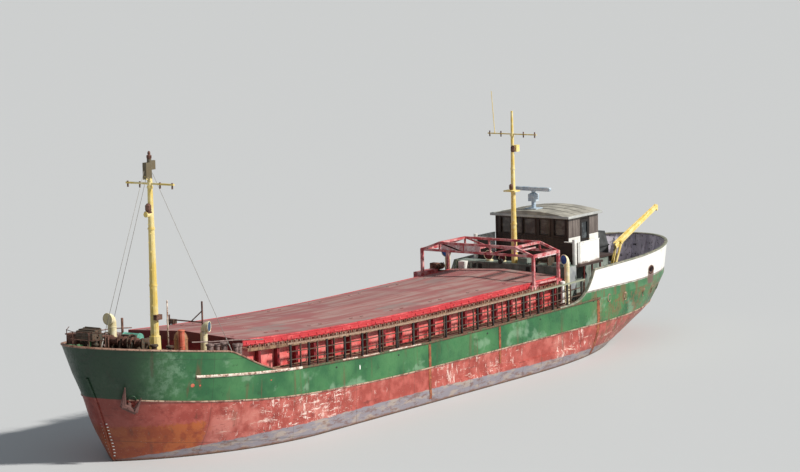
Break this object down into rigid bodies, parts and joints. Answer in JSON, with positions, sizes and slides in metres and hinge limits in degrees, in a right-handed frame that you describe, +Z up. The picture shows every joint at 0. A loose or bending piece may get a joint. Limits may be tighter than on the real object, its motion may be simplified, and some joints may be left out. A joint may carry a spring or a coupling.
{
  "type": "general cargo vessel, 1:2 scale model",
  "caption": "Small coastal general cargo vessel with a green and red hull, one long hatch under a portal crane, bridge aft and a raised bow bulwark.",
  "frame": {"origin": "on the waterline amidships, on the centreline", "axes": "+X to the bow, +Y to port, +Z up"},
  "size_m": [20.73, 3.85, 6.6506],
  "materials": {
    "hull_paint": "weathered green gloss",
    "white_paint": "weathered white gloss",
    "cover_red": "faded red, scuffed",
    "coaming_red": "bright red",
    "crane_red": "chipped red",
    "rail_brown": "rusty brown",
    "mast_cream": "cream yellow",
    "winch_grey": "grey-green, greasy",
    "rust_brown": "rusty",
    "house_grey": "grey-green, matt",
    "wood": "dark varnish",
    "roof_grey": "grey, matt",
    "glass": "dark tint",
    "funnel_grey": "sooty",
    "post_orange": "orange-red",
    "bronze": "dull",
    "radar_grey": "pale blue-grey"
  },
  "bodies": {
    "ship": {"hull": "hull_paint", "forecastle": "hull_paint", "aft_bulwark": "white_paint", "hatch_coaming": "coaming_red", "guard_rail_port": "rail_brown", "guard_rail_starboard": "rail_brown", "fore_mast": "mast_cream", "forestay": "rail_brown", "shroud_port": "rail_brown", "shroud_starboard": "rail_brown", "windlass_base": "winch_grey", "bow_roller": "winch_grey", "fore_vent": "mast_cream", "hatch_vent": "mast_cream", "vent_post": "post_orange", "store_hood": "rust_brown", "fore_bollards_port": "rust_brown", "fore_bollards_starboard": "rust_brown", "anchor_port": "rust_brown", "deckhouse": "house_grey", "boat_deck": "white_paint", "wheelhouse": "wood", "wheelhouse_roof": "roof_grey", "front_glass": "glass", "aft_glass": "glass", "radar_pedestal": "radar_grey", "engine_casing": "funnel_grey", "aft_mast": "mast_cream", "side_vent_port": "mast_cream", "side_vent_starboard": "mast_cream", "davit_pedestal": "mast_cream", "aft_bollards_port": "rust_brown", "aft_bollards_starboard": "rust_brown"},
    "portal": {"portal_crane": "crane_red"},
    "port_door": {"wheelhouse_door_port": "wood", "door_glass_port": "glass"},
    "starboard_door": {"wheelhouse_door_starboard": "wood", "door_glass_starboard": "glass"},
    "radar": {"radar_scanner": "radar_grey"},
    "windlass": {"windlass_drums": "rust_brown"},
    "davit_column": {"davit_leg": "mast_cream"},
    "davit_arm": {"davit_boom": "mast_cream"},
    "capstan_drum": {"capstan": "winch_grey"},
    "screw": {"propeller": "bronze"},
    "rudder_blade": {"rudder": "hull_paint"},
    "cover_1": {"hatch_cover_1": "cover_red"},
    "cover_2": {"hatch_cover_2": "cover_red"},
    "cover_3": {"hatch_cover_3": "cover_red"},
    "cover_4": {"hatch_cover_4": "cover_red"},
    "cover_5": {"hatch_cover_5": "cover_red"},
    "cover_6": {"hatch_cover_6": "cover_red"},
    "cover_7": {"hatch_cover_7": "cover_red"},
    "cover_8": {"hatch_cover_8": "cover_red"}
  },
  "joints": [
    {"name": "portal_travel", "type": "slide", "parent": "ship", "child": "portal", "axis": [1, 0, 0], "range_m": [0, 5]},
    {"name": "hatch_cover_1_lift", "type": "slide", "parent": "ship", "child": "cover_1", "axis": [0, 0, 1], "range_m": [0, 0.15]},
    {"name": "hatch_cover_2_lift", "type": "slide", "parent": "ship", "child": "cover_2", "axis": [0, 0, 1], "range_m": [0, 0.15]},
    {"name": "hatch_cover_3_lift", "type": "slide", "parent": "ship", "child": "cover_3", "axis": [0, 0, 1], "range_m": [0, 0.15]},
    {"name": "hatch_cover_4_lift", "type": "slide", "parent": "ship", "child": "cover_4", "axis": [0, 0, 1], "range_m": [0, 0.15]},
    {"name": "hatch_cover_5_lift", "type": "slide", "parent": "ship", "child": "cover_5", "axis": [0, 0, 1], "range_m": [0, 0.15]},
    {"name": "hatch_cover_6_lift", "type": "slide", "parent": "ship", "child": "cover_6", "axis": [0, 0, 1], "range_m": [0, 0.15]},
    {"name": "hatch_cover_7_lift", "type": "slide", "parent": "ship", "child": "cover_7", "axis": [0, 0, 1], "range_m": [0, 0.15]},
    {"name": "hatch_cover_8_lift", "type": "slide", "parent": "ship", "child": "cover_8", "axis": [0, 0, 1], "range_m": [0, 0.15]},
    {"name": "rudder_turn", "type": "hinge", "parent": "ship", "child": "rudder_blade", "pos_m": [-9.3, 0, -0.3], "axis": [0, 0, 1], "range_deg": [-35, 35]},
    {"name": "propeller_spin", "type": "hinge", "parent": "ship", "child": "screw", "pos_m": [-8.89, 0, -0.3], "axis": [1, 0, 0], "continuous": true},
    {"name": "radar_spin", "type": "hinge", "parent": "ship", "child": "radar", "pos_m": [-5.65, -0.05, 3.65], "axis": [0, 0, 1], "continuous": true},
    {"name": "windlass_spin", "type": "hinge", "parent": "ship", "child": "windlass", "pos_m": [9.05, 0, 2.26], "axis": [0, 1, 0], "continuous": true},
    {"name": "capstan_spin", "type": "hinge", "parent": "ship", "child": "capstan_drum", "pos_m": [-9, 0, 1.5], "axis": [0, 0, 1], "continuous": true},
    {"name": "port_door_swing", "type": "hinge", "parent": "ship", "child": "port_door", "pos_m": [-6.344, 0.975, 2.5], "axis": [0, 0, 1], "range_deg": [0, 95]},
    {"name": "starboard_door_swing", "type": "hinge", "parent": "ship", "child": "starboard_door", "pos_m": [-6.344, -0.975, 2.5], "axis": [0, 0, -1], "range_deg": [0, 95]},
    {"name": "davit_slew", "type": "hinge", "parent": "ship", "child": "davit_column", "pos_m": [-7.725, 0.75, 1.6], "axis": [0, 0, 1], "range_deg": [-120, 15]},
    {"name": "davit_luff", "type": "hinge", "parent": "davit_column", "child": "davit_arm", "pos_m": [-8.075, 0.75, 2.2], "axis": [0, 1, 0], "range_deg": [-10, 45]}
  ]
}
